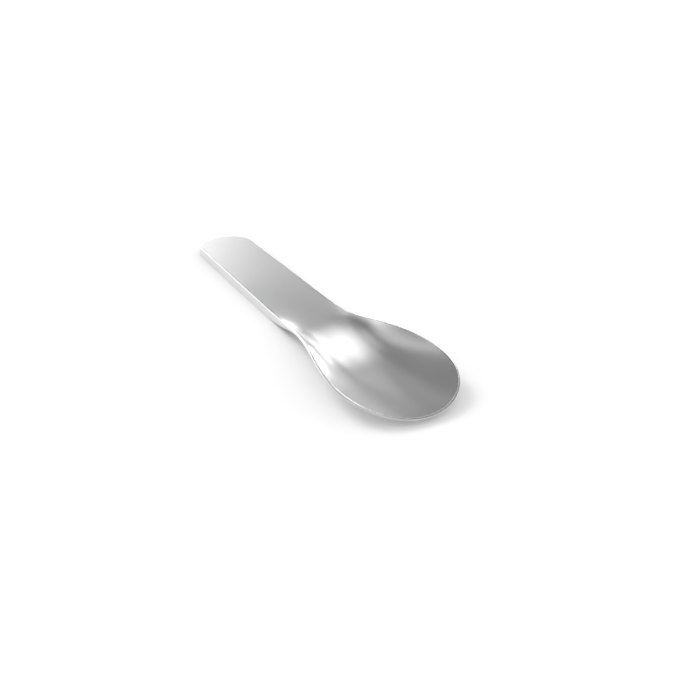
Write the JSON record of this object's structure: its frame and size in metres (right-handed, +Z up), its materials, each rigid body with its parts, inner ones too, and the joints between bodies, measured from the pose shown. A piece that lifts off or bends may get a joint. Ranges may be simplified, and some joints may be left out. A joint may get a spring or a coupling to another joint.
{
  "type": "pocket spoon",
  "caption": "One-piece pressed steel pocket spoon: flat channel handle with a turned-down edge, flaring through the neck into a shallow egg-shaped bowl.",
  "frame": {"origin": "on the table under the middle of the spoon's bounding box", "axes": "+X along the spoon from the handle end to the tip of the bowl, +Y across the spoon, +Z up out of the bowl"},
  "size_m": [0.165, 0.042, 0.0088],
  "materials": {
    "steel": "satin stainless steel with a fine grain and a polished rim"
  },
  "bodies": {
    "root": {"spoon": "steel"}
  },
  "joints": []
}
